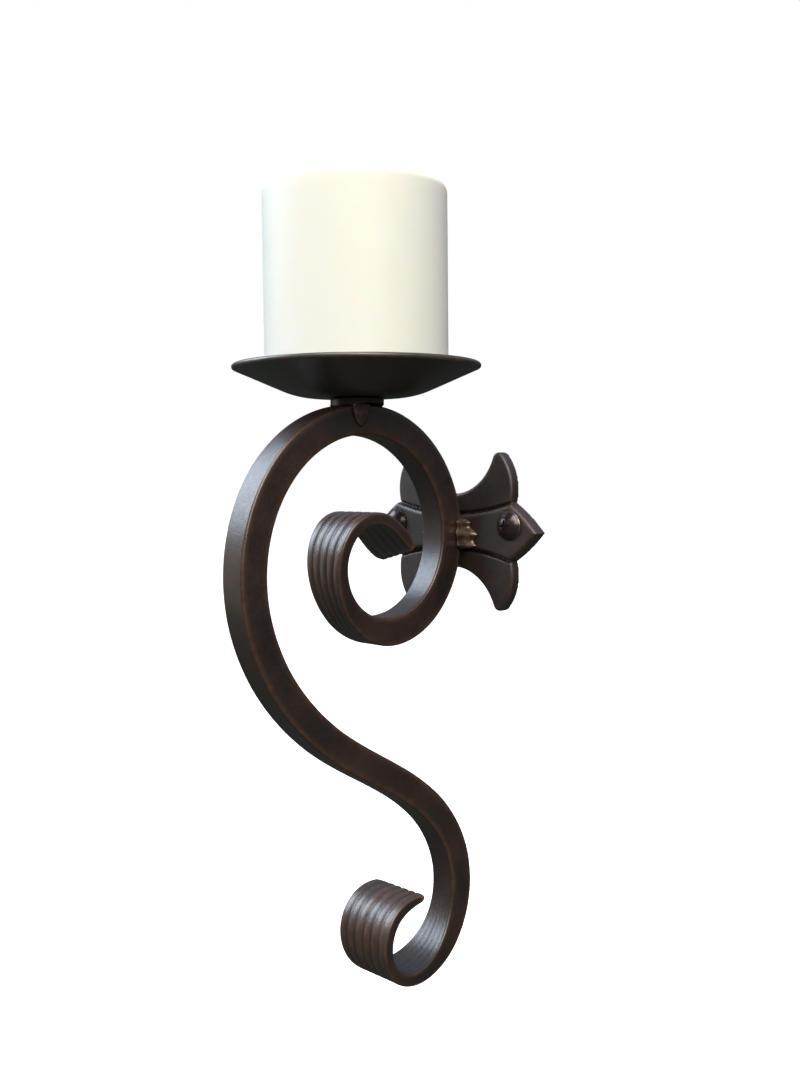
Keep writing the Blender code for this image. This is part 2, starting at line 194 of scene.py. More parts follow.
def combine(piece, tool, operation):
    """Join another body to a piece or cut it away, and drop the other body."""
    cut = piece.modifiers.new(tool.name, "BOOLEAN")
    cut.operation = operation
    cut.solver = "EXACT"
    cut.object = tool
    settle(piece)
    bpy.data.objects.remove(tool, do_unlink=True)


def settle(piece):
    """Turn a piece with its modifiers into a plain mesh."""
    graph = bpy.context.evaluated_depsgraph_get()
    plain = bpy.data.meshes.new_from_object(piece.evaluated_get(graph), preserve_all_data_layers=True,
                                            depsgraph=graph)
    piece.modifiers.clear()
    piece.data = plain
    return piece


def add(tree, kind, inputs=None, **settings):
    """Add a node, set its properties and feed its inputs from values or from other nodes' outputs."""
    made = tree.nodes.new(kind)
    for key, value in settings.items():
        setattr(made, key, value)
    for key, value in (inputs or {}).items():
        if isinstance(value, bpy.types.NodeSocket):
            tree.links.new(value, made.inputs[key])
        else:
            made.inputs[key].default_value = value
    return made


def calculate(tree, operation, first, second=0.0, clamp=False):
    """One step of arithmetic in a shader or geometry tree."""
    return add(tree, "ShaderNodeMath", {0: first, 1: second}, operation=operation, use_clamp=clamp).outputs[0]


def forged_surface_tree():
    """Geometry nodes that press grooves and hammer marks into a surface along its normals."""
    tree = bpy.data.node_groups.new("Forged Surface", "GeometryNodeTree")
    tree.interface.new_socket("Geometry", in_out="INPUT", socket_type="NodeSocketGeometry")
    for name in ("Groove Depth", "Groove Sharpness", "Hammer Depth", "Hammer Size", "Seed"):
        tree.interface.new_socket(name, in_out="INPUT", socket_type="NodeSocketFloat")
    tree.interface.new_socket("Finish", in_out="INPUT", socket_type="NodeSocketMaterial")
    tree.interface.new_socket("Geometry", in_out="OUTPUT", socket_type="NodeSocketGeometry")
    given = add(tree, "NodeGroupInput").outputs
    ridge = add(tree, "GeometryNodeInputNamedAttribute", {"Name": "ridge"}, data_type="FLOAT").outputs[0]
    cut = add(tree, "GeometryNodeInputNamedAttribute", {"Name": "cut"}, data_type="FLOAT").outputs[0]
    wave = calculate(tree, "ABSOLUTE", calculate(tree, "SINE", calculate(tree, "MULTIPLY", ridge, math.pi)))
    crest = calculate(tree, "POWER", wave, given["Groove Sharpness"])
    valley = calculate(tree, "SUBTRACT", 1.0, crest)
    groove = calculate(tree, "MULTIPLY", calculate(tree, "MULTIPLY", valley, cut), given["Groove Depth"])
    place = add(tree, "GeometryNodeInputPosition").outputs[0]
    marks = add(tree, "ShaderNodeTexNoise", {
        "Vector": place,
        "W": given["Seed"],
        "Scale": calculate(tree, "DIVIDE", 1.0, given["Hammer Size"]),
        "Detail": 1.5,
        "Roughness": 0.45,
    }, noise_dimensions="4D").outputs[0]
    press = calculate(tree, "MULTIPLY", marks, given["Hammer Depth"])
    depth = calculate(tree, "MULTIPLY", calculate(tree, "ADD", groove, press), -1.0)
    normal = add(tree, "GeometryNodeInputNormal").outputs[0]
    offset = add(tree, "ShaderNodeVectorMath", {0: normal, "Scale": depth}, operation="SCALE").outputs[0]
    moved = add(tree, "GeometryNodeSetPosition", {"Geometry": given["Geometry"], "Offset": offset})
    real = add(tree, "GeometryNodeRealizeInstances", {"Geometry": moved.outputs[0]})
    faced = add(tree, "GeometryNodeSetMaterial", {"Geometry": real.outputs[0], "Material": given["Finish"]})
    add(tree, "NodeGroupOutput", {"Geometry": faced.outputs[0]})
    return tree


def run_tree(piece, tree, values):
    """Give a piece a geometry-node modifier with named values, and bake it."""
    modifier = piece.modifiers.new(tree.name, "NODES")
    modifier.node_group = tree
    for item in tree.interface.items_tree:
        if item.item_type == "SOCKET" and item.in_out == "INPUT" and item.name in values:
            modifier[item.identifier] = values[item.name]
    return settle(piece)


def forge(piece, finish, hammer_depth, hammer_size, seed, groove_depth=0.0):
    """Press hammer marks, and grooves where the piece is marked for them, into its surface."""
    return run_tree(piece, FORGED_SURFACE, {
        "Groove Depth": groove_depth,
        "Groove Sharpness": GROOVE_SHARPNESS,
        "Hammer Depth": hammer_depth,
        "Hammer Size": hammer_size,
        "Seed": float(seed),
        "Finish": finish,
    })


def mark_wear_and_highlight(piece, proud, passes):
    """Store how far each point stands proud of the surface round it, from 0 to 1, as the attribute worn. The
    lighter colour put there is partly rubbed wear and partly a painted highlight on edges and crests.
    """
    data = piece.data
    count = len(data.vertices)
    places = np.empty(count * 3)
    data.vertices.foreach_get("co", places)
    places = places.reshape(count, 3)
    normals = np.empty(count * 3)
    data.vertices.foreach_get("normal", normals)
    ends = np.empty(len(data.edges) * 2, dtype=np.int64)
    data.edges.foreach_get("vertices", ends)
    first, second = ends.reshape(-1, 2).T
    degree = np.bincount(first, minlength=count) + np.bincount(second, minlength=count)
    degree = np.maximum(degree, 1)[:, None]
    level = places.copy()
    for _ in range(passes):
        total = np.zeros_like(level)
        np.add.at(total, first, level[second])
        np.add.at(total, second, level[first])
        level = (level + total / degree) / 2
    height = ((places - level) * normals.reshape(count, 3)).sum(axis=1)
    wear_and_highlight_mask = data.attributes.new("wear_and_highlight_mask", "FLOAT", "POINT")
    wear_and_highlight_mask.data.foreach_set("value", np.clip(height / proud, 0, 1).astype(np.float32))


def rubbed_and_highlit_finish_group():
    """The blackened and rubbed surface that every iron piece shares, as colours and masks, with a painted
    highlight mixed into the rubbed colour on proud edges.
    """
    tree = bpy.data.node_groups.new("Rubbed And Highlit Finish", "ShaderNodeTree")
    for name in ("Dark", "Warm", "Rubbed And Highlit"):
        tree.interface.new_socket(name, in_out="INPUT", socket_type="NodeSocketColor")
    for name in ("Blotch Size", "Grain Size", "Roughness", "Wear And Highlight"):
        tree.interface.new_socket(name, in_out="INPUT", socket_type="NodeSocketFloat")
    tree.interface.new_socket("Colour", in_out="OUTPUT", socket_type="NodeSocketColor")
    tree.interface.new_socket("Roughness", in_out="OUTPUT", socket_type="NodeSocketFloat")
    tree.interface.new_socket("Height", in_out="OUTPUT", socket_type="NodeSocketFloat")
    given = add(tree, "NodeGroupInput").outputs
    place = add(tree, "ShaderNodeTexCoord").outputs["Object"]
    blotch = add(tree, "ShaderNodeTexNoise", {
        "Vector": place,
        "Scale": calculate(tree, "DIVIDE", 1.0, given["Blotch Size"]),
        "Detail": 4.0,
        "Roughness": 0.6,
    }).outputs[0]
    grain = add(tree, "ShaderNodeTexNoise", {
        "Vector": place,
        "Scale": calculate(tree, "DIVIDE", 1.0, given["Grain Size"]),
        "Detail": 4.0,
        "Roughness": 0.65,
    }).outputs[0]
    scuff = add(tree, "ShaderNodeTexNoise", {"Vector": place, "Scale": 260.0, "Detail": 3.0}).outputs[0]
    # painted highlight: proud edges and crests get the lighter rubbed colour, partly for real wear and partly
    # for the light they catch
    wear_and_highlight_mask = add(tree, "ShaderNodeAttribute", attribute_name="wear_and_highlight_mask", attribute_type="GEOMETRY").outputs["Fac"]
    patchiness = calculate(tree, "ADD", calculate(tree, "MULTIPLY", scuff, WEAR_AND_HIGHLIGHT_CONTRAST), WEAR_AND_HIGHLIGHT_OFFSET)
    broken = calculate(tree, "MULTIPLY", wear_and_highlight_mask, patchiness)
    wear_and_highlight = calculate(tree, "MULTIPLY", broken, given["Wear And Highlight"], clamp=True)
    patch = add(tree, "ShaderNodeMapRange", {"Value": blotch, "From Min": 0.38, "From Max": 0.66}).outputs[0]
    ground = add(tree, "ShaderNodeMix", {0: patch, 6: given["Dark"], 7: given["Warm"]},
                 data_type="RGBA").outputs[2]
    speck = add(tree, "ShaderNodeMapRange", {
        "Value": grain,
        "From Min": 0.30,
        "From Max": 0.72,
        "To Min": 0.80,
        "To Max": 1.22,
    }).outputs[0]
    toned = add(tree, "ShaderNodeVectorMath", {0: ground, "Scale": speck}, operation="SCALE").outputs[0]
    colour = add(tree, "ShaderNodeMix", {0: wear_and_highlight, 6: toned, 7: given["Rubbed And Highlit"]}, data_type="RGBA").outputs[2]
    uneven = calculate(tree, "MULTIPLY", calculate(tree, "SUBTRACT", grain, 0.5), 0.30)
    patchy = calculate(tree, "MULTIPLY", calculate(tree, "SUBTRACT", blotch, 0.5), 0.22)
    rough = calculate(tree, "ADD", given["Roughness"], calculate(tree, "ADD", uneven, patchy))
    smoothed = calculate(tree, "SUBTRACT", rough, calculate(tree, "MULTIPLY", wear_and_highlight, 0.10), clamp=True)
    fine = calculate(tree, "MULTIPLY", grain, 0.6)
    coarse = calculate(tree, "MULTIPLY", scuff, 0.4)
    height = calculate(tree, "ADD", fine, coarse)
    add(tree, "NodeGroupOutput", {"Colour": colour, "Roughness": smoothed, "Height": height})
    return tree


def iron(name, dark, warm, rubbed_and_highlit, roughness, wear_and_highlight, metallic=0.0, blotch=26 * MM, grain=1.1 * MM,
         bump=0.12 * MM):
    """Blackened iron in one piece's own tones."""
    made = bpy.data.materials.new(name)
    made.use_nodes = True
    tree = made.node_tree
    shader = tree.nodes["Principled BSDF"]
    finish = add(tree, "ShaderNodeGroup", node_tree=RUBBED_AND_HIGHLIT_FINISH)
    finish.inputs["Dark"].default_value = dark
    finish.inputs["Warm"].default_value = warm
    finish.inputs["Rubbed And Highlit"].default_value = rubbed_and_highlit
    finish.inputs["Blotch Size"].default_value = blotch
    finish.inputs["Grain Size"].default_value = grain
    finish.inputs["Roughness"].default_value = roughness
    finish.inputs["Wear And Highlight"].default_value = wear_and_highlight
    bumped = add(tree, "ShaderNodeBump", {
        "Height": finish.outputs["Height"],
        "Strength": 0.5,
        "Distance": bump,
    })
    tree.links.new(finish.outputs["Colour"], shader.inputs["Base Color"])
    tree.links.new(finish.outputs["Roughness"], shader.inputs["Roughness"])
    tree.links.new(bumped.outputs["Normal"], shader.inputs["Normal"])
    shader.inputs["Metallic"].default_value = metallic
    shader.inputs["IOR"].default_value = 1.75
    return made


FORGED_SURFACE = forged_surface_tree()
RUBBED_AND_HIGHLIT_FINISH = rubbed_and_highlit_finish_group()

petal_outline = whole_outline(petal_quadrant())
strap_outline = whole_outline(strap_quadrant())
petals = prism("petals", petal_outline, 0.0, petal_outline, -PETAL_THICKNESS)
round_front_edge(petals, PETAL_THICKNESS)
foot_outline = whole_outline(strap_quadrant(GROOVE_FOOT))
mouth_outline = whole_outline(strap_quadrant(GROOVE_MOUTH))
trench = prism("trench", foot_outline, -PLATE_BASE, mouth_outline, -PETAL_THICKNESS - GROOVE_FOOT)
combine(petals, trench, "DIFFERENCE")
strap = prism("strap", strap_outline, 0.0, strap_outline, -STRAP_THICKNESS)
round_front_edge(strap, STRAP_THICKNESS)
combine(petals, strap, "UNION")
seat_half = SEAT_WIDTH / 2
seat_reach = 2 * STRAP_HALF_HEIGHT
seat_outline = [
    (-seat_half, -seat_reach),
    (seat_half, -seat_reach),
    (seat_half, seat_reach),
    (-seat_half, seat_reach),
]
seat = prism("seat", seat_outline, -PETAL_THICKNESS, seat_outline, -2 * STRAP_THICKNESS)
combine(petals, seat, "DIFFERENCE")
for side in (-1, 1):
    screw_low, screw_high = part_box("screw_left" if side < 0 else "screw_right")
    screw_centre = ((screw_low.x + screw_high.x) / 2, (screw_low.z + screw_high.z) / 2)
    hole = arc(screw_centre, SCREW_HOLE_RADIUS, 0, 360, 40)[:-1]
    combine(petals, prism("hole", hole, 2 * STRAP_THICKNESS, hole, -2 * STRAP_THICKNESS), "DIFFERENCE")
casting = petals.modifiers.new("casting skin", "REMESH")
casting.mode = "VOXEL"
casting.voxel_size = CASTING_GRID
casting.use_smooth_shade = True
softened = petals.modifiers.new("fettled", "SMOOTH")
softened.factor = 0.5
softened.iterations = 2
wall_plate = settle(petals)
wall_plate.name = "cast_wall_plate"
plate_iron = iron("Cast plate iron", (0.017, 0.009, 0.007, 1), (0.036, 0.017, 0.012, 1), IRON_RUBBED_AND_HIGHLIT,
                  0.48, 0.6, grain=0.8 * MM, bump=0.16 * MM)
forge(wall_plate, plate_iron, 0.22 * MM, 9 * MM, 3)
mark_wear_and_highlight(wall_plate, 0.28 * MM, 8)
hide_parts("wall_plate")
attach(wall_plate, "bracket")


# ---------------------------------------------------------------- screws
# Two short number 14 round-head wood screws with a cross recess, turned from steel with a rolled thread and
# blackened. They are driven through the plate's lobes into the wall, which has scuffed their heads; the
# bright colour on the proud edges of the heads is partly that scuffing and partly a painted glint.

SCREW_SEGMENTS = 72
SHANK_RADIUS = 3.0 * MM
ROOT_RADIUS = 2.3 * MM
THREAD_PITCH = 2.1 * MM
PLAIN_SHANK = 7.2 * MM
POINT_RUN = 4.0 * MM
RECESS_DEPTH = 1.7 * MM
RECESS_HALF_LENGTH = 3.0 * MM
RECESS_HALF_WIDTH = 0.6 * MM


def turn(name, profile, segments, axis_place, material):
    """Turn a closed run of (radius, height) points about an upright axis at a place."""
    mesh = bmesh.new()
    rings = []
    for radius, height in profile:
        ring = []
        for number in range(segments):
            angle = math.tau * number / segments
            reach = Vector((radius * math.cos(angle), radius * math.sin(angle), height))
            ring.append(mesh.verts.new(Vector(axis_place) + reach))
        rings.append(ring)
    for first, second in zip(rings, rings[1:] + rings[:1]):
        for number in range(segments):
            following = (number + 1) % segments
            mesh.faces.new((first[number], first[following], second[following], second[number]))
    return object_from(name, mesh, material)


def screw_thread_tree():
    """Geometry nodes that wind a thread's ridge round a shank."""
    tree = bpy.data.node_groups.new("Screw Thread", "GeometryNodeTree")
    tree.interface.new_socket("Geometry", in_out="INPUT", socket_type="NodeSocketGeometry")
    for name in ("Radius", "Pitch", "Start", "Length", "Ridge"):
        tree.interface.new_socket(name, in_out="INPUT", socket_type="NodeSocketFloat")
    tree.interface.new_socket("Finish", in_out="INPUT", socket_type="NodeSocketMaterial")
    tree.interface.new_socket("Geometry", in_out="OUTPUT", socket_type="NodeSocketGeometry")
    given = add(tree, "NodeGroupInput").outputs
    turns = calculate(tree, "ABSOLUTE", calculate(tree, "DIVIDE", given["Length"], given["Pitch"]))
    helix = add(tree, "GeometryNodeCurveSpiral", {
        "Resolution": 28,
        "Rotations": turns,
        "Start Radius": given["Radius"],
        "End Radius": given["Radius"],
        "Height": given["Length"],
    })
    lift = add(tree, "ShaderNodeCombineXYZ", {"Z": given["Start"]})
    placed = add(tree, "GeometryNodeSetPosition", {"Geometry": helix.outputs[0], "Offset": lift.outputs[0]})
    section = add(tree, "GeometryNodeCurvePrimitiveCircle", {"Resolution": 5, "Radius": given["Ridge"]})
    ridge = add(tree, "GeometryNodeCurveToMesh", {
        "Curve": placed.outputs[0],
        "Profile Curve": section.outputs[0],
        "Fill Caps": True,
    })
    both = add(tree, "GeometryNodeJoinGeometry")
    tree.links.new(given["Geometry"], both.inputs[0])
    tree.links.new(ridge.outputs[0], both.inputs[0])
    real = add(tree, "GeometryNodeRealizeInstances", {"Geometry": both.outputs[0]})
    faced = add(tree, "GeometryNodeSetMaterial", {"Geometry": real.outputs[0], "Material": given["Finish"]})
    add(tree, "NodeGroupOutput", {"Geometry": faced.outputs[0]})
    return tree


SCREW_THREAD = screw_thread_tree()
screw_steel = iron("Blackened screw steel", (0.045, 0.035, 0.036, 1), (0.075, 0.040, 0.036, 1),
                   (0.36, 0.31, 0.30, 1), 0.27, 0.9, metallic=0.75, blotch=4 * MM, grain=0.5 * MM,
                   bump=0.05 * MM)

for side, node in ((-1, "screw_left"), (1, "screw_right")):
    low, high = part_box(node)
    head_radius = (high.x - low.x) / 2
    head_seat = -STRAP_THICKNESS - 0.3 * MM
    head_height = head_seat - low.y
    shank_end = high.y - head_seat
    dome_radius = (head_radius ** 2 + head_height ** 2) / (2 * head_height)
    dome_edge = math.degrees(math.acos(head_radius / dome_radius))
    dome = arc((0.0, head_height - dome_radius), dome_radius, dome_edge, 90, 16)
    outline = [
        (0.0, -shank_end),
        (0.5 * ROOT_RADIUS, POINT_RUN / 3 - shank_end),
        (ROOT_RADIUS, POINT_RUN - shank_end),
        (ROOT_RADIUS, -PLAIN_SHANK - 0.6 * MM),
        (SHANK_RADIUS, -PLAIN_SHANK),
        (SHANK_RADIUS, 0.0),
        (head_radius - 0.3 * MM, 0.0),
    ] + dome[:-1] + [(0.0, head_height)]
    screw = turn("round_head_" + node, outline, SCREW_SEGMENTS, (0, 0, 0), screw_steel)
    for quarter in (0, 1):
        half_length, half_width = RECESS_HALF_LENGTH, RECESS_HALF_WIDTH
        if quarter:
            half_length, half_width = half_width, half_length
        slot_outline = [(-half_length, -half_width), (half_length, -half_width),
                        (half_length, half_width), (-half_length, half_width)]
        slot = bmesh.new()
        foot = [slot.verts.new((x * 0.72, y * 0.72, head_height - RECESS_DEPTH)) for x, y in slot_outline]
        lip = [slot.verts.new((x, y, head_height + 1 * MM)) for x, y in slot_outline]
        for number in range(4):
            following = (number + 1) % 4
            slot.faces.new((foot[number], foot[following], lip[following], lip[number]))
        slot.faces.new(foot)
        slot.faces.new(lip)
        combine(screw, object_from("recess", slot), "DIFFERENCE")
    thread_length = shank_end - PLAIN_SHANK - POINT_RUN
    run_tree(screw, SCREW_THREAD, {
        "Radius": ROOT_RADIUS,
        "Pitch": THREAD_PITCH,
        "Start": -PLAIN_SHANK,
        "Length": -thread_length,
        "Ridge": SHANK_RADIUS - ROOT_RADIUS,
        "Finish": screw_steel,
    })
    for vertex in screw.data.vertices:
        x, y, z = vertex.co
        vertex.co = (x + (low.x + high.x) / 2, head_seat - z, y + (low.z + high.z) / 2)
    screw.data.update()
    screw.data.set_sharp_from_angle(angle=math.radians(40))
    mark_wear_and_highlight(screw, 0.25 * MM, 2)
    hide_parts(node)
    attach(screw, "bracket")


# ---------------------------------------------------------------- scroll bar
# One length of half-inch square bar. Both ends are drawn wide and thin under the hammer and fullered with
# lengthwise grooves, then the bar is bent hot over a scroll form into a ring, an inner curl and a tail.

BAR = 12.7 * MM
ARRIS_RADIUS = 1.15 * MM
SCROLL_START = (-40.3 * MM, -8.7 * MM)
SCROLL_START_HEADING = math.radians(139)
SCROLL_STRETCHES = (
    (5.0 * MM, -90.0 * MM, -56.5 * MM),
    (21.5 * MM, -56.5 * MM, 13.5 * MM),
    (36.5 * MM, 13.5 * MM, 28.5 * MM),
    (105.5 * MM, 28.5 * MM, 46.0 * MM),
    (180.0 * MM, 46.0 * MM, 70.5 * MM),
    (74.0 * MM, 70.5 * MM, 145.0 * MM),
    (142.0 * MM, 145.0 * MM, -27.0 * MM),
    (60.2 * MM, -36.7 * MM, -14.5 * MM),
    (16.6 * MM, -14.9 * MM, -64.0 * MM),
)
INNER_END_WIDTH = 28.0 * MM
INNER_END_WIDTH_RUN = (0.0, 115.0 * MM)
LOWER_END_WIDTH = 29.2 * MM
LOWER_END_WIDTH_RUN = (23.0 * MM, 110.0 * MM)
END_THICKNESS = 5.4 * MM
END_THICKNESS_RUN = (52.0 * MM, 110.0 * MM)
INNER_END_LEAN = 0.8 * MM
INNER_END_LEAN_RUN = (30.0 * MM, 115.0 * MM)
TIP_THINNING = 0.5
TIP_RUN = 16.0 * MM
INNER_END_SKEW = 4.0 * MM
INNER_END_SKEW_RUN = 24.0 * MM
TIP_CORNER = 2.4 * MM
GROOVE_RUN = (52.0 * MM, 112.0 * MM)  # the grooves are whole up to here from the tip, and gone beyond
INNER_RIDGES = 5
LOWER_RIDGES = 6
BAR_STATION_STEP = 1.25 * MM
FACE_STEPS = 42
SIDE_STEPS = 6
CORNER_STEPS = 4


def blend(first, second, run, distance):
    """A size that leaves its first value at the run's start and reaches its second at the run's end."""
    part = np.clip((distance - run[0]) / (run[1] - run[0]), 0, 1)
    return first + (second - first) * part * part * (3 - 2 * part)


def scroll_stations():
    """Arrays of y, z, heading and distance along the bar. Along each stretch the curvature changes evenly."""
    y, z = SCROLL_START
    heading = SCROLL_START_HEADING
    distance = 0.0
    stations = [(y, z, heading, distance)]
    for length, start_radius, end_radius in SCROLL_STRETCHES:
        steps = math.ceil(length / BAR_STATION_STEP)
        step = length / steps
        curvature = 1 / start_radius
        change = (1 / end_radius - curvature) / steps
        for _ in range(steps):
            bend = (curvature + change / 2) * step
            y += step * math.cos(heading + bend / 2)
            z += step * math.sin(heading + bend / 2)
            heading += bend
            curvature += change
            distance += step
            stations.append((y, z, heading, distance))
    return np.array(stations).T


def section_run(half_width, half_thickness, radius):
    """The rounded section of the bar at one station: across, out, place over the face, and face strength."""
    flat_width = half_width - radius
    flat_thickness = half_thickness - radius
    points = []
    for face in (1, -1):
        for number in range(FACE_STEPS + 1):
            across = face * flat_width * (1 - 2 * number / FACE_STEPS)
            points.append((across, face * half_thickness, (across / half_width + 1) / 2, 1.0))
        corner_x = -face * flat_width
        for number in range(1, CORNER_STEPS):
            angle = math.pi / 2 * number / CORNER_STEPS
            points.append((corner_x - face * radius * math.sin(angle),
                           face * (flat_thickness + radius * math.cos(angle)), 0.0, 0.0))
        for number in range(SIDE_STEPS + 1):
            out = face * flat_thickness * (1 - 2 * number / SIDE_STEPS)
            points.append((-face * half_width, out, 0.0, 0.0))
        for number in range(1, CORNER_STEPS):
            angle = math.pi / 2 * number / CORNER_STEPS
            points.append((corner_x - face * radius * math.cos(angle),
                           -face * (flat_thickness + radius * math.sin(angle)), 0.0, 0.0))
    return points


def bar_mesh():
    """The plain forged bar with its ridge and cut marks stored on its points."""
    ys, zs, headings, distances = scroll_stations()
    total = distances[-1]
    mesh = bmesh.new()
    ridge_layer = mesh.verts.layers.float.new("ridge")
    cut_layer = mesh.verts.layers.float.new("cut")
    rings = []
    for y, z, heading, distance in zip(ys, zs, headings, distances):
        from_tip = min(distance, total - distance)
        inner_end = distance < total / 2
        if inner_end:
            half_width = blend(INNER_END_WIDTH, BAR, INNER_END_WIDTH_RUN, from_tip) / 2
            lean = blend(INNER_END_LEAN, 0.0, INNER_END_LEAN_RUN, from_tip)
        else:
            half_width = blend(LOWER_END_WIDTH, BAR, LOWER_END_WIDTH_RUN, from_tip) / 2
            lean = 0.0
        half_thickness = blend(END_THICKNESS, BAR, END_THICKNESS_RUN, from_tip) / 2
        half_thickness *= 1 - TIP_THINNING * max(0.0, 1 - from_tip / TIP_RUN) ** 2
        if from_tip < TIP_CORNER:
            half_width -= TIP_CORNER - math.sqrt(TIP_CORNER ** 2 - (TIP_CORNER - from_tip) ** 2)
            half_thickness *= 0.62 + 0.38 * from_tip / TIP_CORNER
        radius = min(ARRIS_RADIUS, 0.8 * half_thickness)
        ridges = INNER_RIDGES if inner_end else LOWER_RIDGES
        strength = blend(1.0, 0.0, GROOVE_RUN, from_tip)
        outer_face = 1 if inner_end else -1
        skew = INNER_END_SKEW * max(0.0, 1 - distance / INNER_END_SKEW_RUN)
        forward = Vector((0, math.cos(heading), math.sin(heading)))
        outward = Vector((0, math.sin(heading), -math.cos(heading)))
        ring = []
        for across, out, over, face_strength in section_run(half_width, half_thickness, radius):
            along = skew * across / half_width
            vertex = mesh.verts.new(Vector((lean + across, y, z)) + outward * out + forward * along)
            vertex[ridge_layer] = over * ridges
            facing = 1.0 if out * outer_face > 0 else 0.6
            vertex[cut_layer] = strength * face_strength * facing
            ring.append(vertex)
        rings.append(ring)
    count = len(rings[0])
    for first, second in zip(rings, rings[1:]):
        for number in range(count):
            following = (number + 1) % count
            mesh.faces.new((first[number], first[following], second[following], second[number]))
    mesh.faces.new(rings[0])
    mesh.faces.new(rings[-1])
    return object_from("forged_scroll_bar", mesh)


# painted highlight: the lighter rubbed colour along the arrises and the groove crests is partly real wear and
# partly a painted highlight
bar_iron = iron("Forged bar iron", IRON_DARK, IRON_WARM, IRON_RUBBED_AND_HIGHLIT, 0.38, 0.85)
scroll_bar = bar_mesh()
forge(scroll_bar, bar_iron, 0.30 * MM, 16 * MM, 7, groove_depth=0.75 * MM)
mark_wear_and_highlight(scroll_bar, 0.30 * MM, 5)
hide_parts("scroll_bar")
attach(scroll_bar, "bracket")


# ---------------------------------------------------------------- weld beads
# Short arc-weld beads in the corners between bar, plate and collar. They cool lumpy and are left as they
# are, so they keep a scorched, brassy colour where the blackening didn't take.

BEAD_STATIONS = 44
BEAD_ARC_STEPS = 22
BEAD_REACH = 0.995  # the rings stop just short of the bead's ends
BEAD_RIPPLE = 0.14
BEAD_SAG = 0.45


def bead_mesh(name, corner, first, second, along, sizes, lumps, sag):
    """A bead in the corner between two faces: lumps in a row, the widest of them where the metal sagged."""
    first_size, second_size, half_length = sizes
    mesh = bmesh.new()
    rings = []
    for number in range(BEAD_STATIONS + 1):
        place = BEAD_REACH * math.sin(math.pi * (number / BEAD_STATIONS - 0.5))
        ripple = 1 - BEAD_RIPPLE + BEAD_RIPPLE * math.cos(place * lumps * math.pi)
        swell = math.sqrt(1 - place ** 4) * ripple
        spread = swell * (1 - BEAD_SAG * (1 + sag * place) / 2)
        middle = Vector(corner) + Vector(along) * place * half_length
        ring = [mesh.verts.new(middle)]
        for step in range(BEAD_ARC_STEPS + 1):
            angle = math.pi / 2 * step / BEAD_ARC_STEPS
            across = Vector(first) * first_size * math.cos(angle) * spread
            out = Vector(second) * second_size * math.sin(angle) * swell
            ring.append(mesh.verts.new(middle + across + out))
        rings.append(ring)
    for first_ring, second_ring in zip(rings, rings[1:]):
        for number in range(len(first_ring)):
            following = (number + 1) % len(first_ring)
            corners = (first_ring[number], first_ring[following], second_ring[following], second_ring[number])
            mesh.faces.new(corners)
    mesh.faces.new(rings[0])
    mesh.faces.new(rings[-1])
    return object_from(name, mesh)


plate_bead_metal = iron("Scorched plate weld", (0.085, 0.050, 0.040, 1), (0.26, 0.16, 0.11, 1),
                        (0.50, 0.35, 0.23, 1), 0.36, 1.0, metallic=0.6, blotch=3.5 * MM, grain=0.7 * MM,
                        bump=0.2 * MM)
collar_bead_metal = iron("Blackened collar weld", (0.060, 0.034, 0.028, 1), (0.125, 0.070, 0.052, 1),
                         IRON_RUBBED_AND_HIGHLIT, 0.36, 0.8, metallic=0.4, blotch=4 * MM, grain=0.8 * MM, bump=0.2 * MM)

for word, side in (("left", -1), ("right", 1)):
    plate_node = "weld_plate_" + word
    low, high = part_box(plate_node)
    corner = (low.x if side > 0 else high.x, high.y, (low.z + high.z) / 2)
    sizes = (high.x - low.x, high.y - low.y, (high.z - low.z) / 2)
    plate_bead = bead_mesh("bead_" + plate_node, corner, (side, 0, 0), (0, -1, 0), (0, 0, 1), sizes, 2.4, 1)
    forge(plate_bead, plate_bead_metal, 0.6 * MM, 3.0 * MM, 11 + side)
    mark_wear_and_highlight(plate_bead, 0.25 * MM, 5)
    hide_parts(plate_node)
    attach(plate_bead, "bracket")

    collar_node = "weld_collar_" + word
    low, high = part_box(collar_node)
    corner = (low.x if side > 0 else high.x, (low.y + high.y) / 2, high.z)
    sizes = (high.x - low.x, high.z - low.z, (high.y - low.y) / 2)
    collar_bead = bead_mesh("bead_" + collar_node, corner, (side, 0, 0), (0, 0, -1), (0, 1, 0), sizes, 1, 0)
    forge(collar_bead, collar_bead_metal, 0.7 * MM, 3.5 * MM, 21 + side)
    mark_wear_and_highlight(collar_bead, 0.25 * MM, 5)
    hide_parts(collar_node)
    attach(collar_bead, "bracket")


# ---------------------------------------------------------------- pan collar
# A thick iron washer between the pan and the crown of the ring. It is punched from plate, dressed down to
# the curved bar underneath and welded to it from both sides.

ROUND_SEGMENTS = 160


def rounded(corners, radius, steps=5):
    """Round the corners of a closed (radius, height) profile, but leave those that lie on the axis."""
    points = []
    count = len(corners)
    for number, place in enumerate(corners):
        here = Vector(place)
        if here.x <= 0:
            points.append(tuple(here))
            continue
        before = (Vector(corners[number - 1]) - here)
        after = (Vector(corners[(number + 1) % count]) - here)
        reach = min(radius, before.length / 2.2, after.length / 2.2)
        start = here + before.normalized() * reach
        end = here + after.normalized() * reach
        for step in range(steps + 1):
            part = step / steps
            points.append(tuple(start * (1 - part) ** 2 + here * 2 * part * (1 - part) + end * part ** 2))
    return points


def divided(profile, longest):
    """Split the long runs of a closed profile, so that the turned surface has even faces."""
    points = []
    for first, second in zip(profile, profile[1:] + profile[:1]):
        run = Vector(second) - Vector(first)
        on_axis = first[0] <= 0 and second[0] <= 0
        steps = 1 if on_axis else max(1, math.ceil(run.length / longest))
        points += [tuple(Vector(first) + run * step / steps) for step in range(steps)]
    return points


